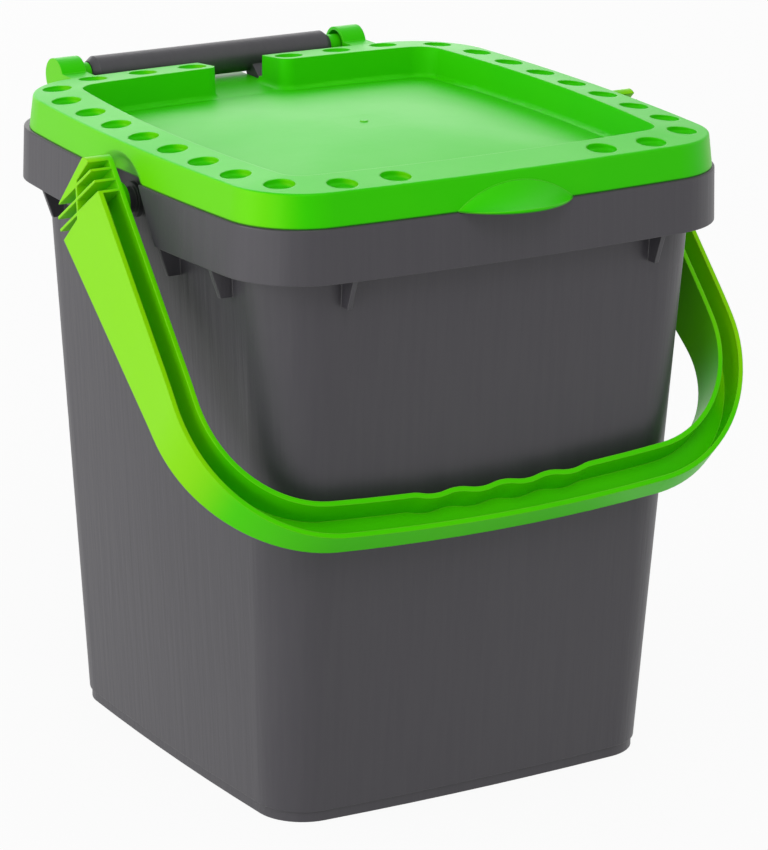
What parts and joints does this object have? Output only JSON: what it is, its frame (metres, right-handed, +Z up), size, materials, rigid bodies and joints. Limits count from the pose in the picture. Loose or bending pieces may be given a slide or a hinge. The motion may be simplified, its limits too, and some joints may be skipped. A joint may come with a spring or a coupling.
{
  "type": "recycling bin",
  "caption": "Square kerbside recycling bin with a hinged, dimpled lid, a hanging collar, a rear grip bar and a swinging carrying handle with finger waves.",
  "frame": {"origin": "centre of the base, on the floor", "axes": "+Z up, -Y towards the front with the thumb tab, +Y towards the hinge bar, X along the hinge"},
  "size_m": [0.3446, 0.3507, 0.3521],
  "materials": {
    "tub_grey": "injection-moulded polypropylene, satin",
    "lid_green": "injection-moulded polypropylene, semi-gloss",
    "handle_green": "injection-moulded polypropylene, semi-gloss"
  },
  "bodies": {
    "tub": {"tub": "tub_grey"},
    "lid": {"lid": "lid_green"},
    "handle": {"handle": "handle_green"}
  },
  "joints": [
    {"name": "lid_hinge", "type": "hinge", "parent": "tub", "child": "lid", "pos_m": [0, 0.172, 0.3417], "axis": [-1, 0, 0], "range_deg": [0, 265]},
    {"name": "handle_hinge", "type": "hinge", "parent": "tub", "child": "handle", "pos_m": [0, 0, 0.315], "axis": [-1, 0, 0], "range_deg": [0, 215]}
  ]
}
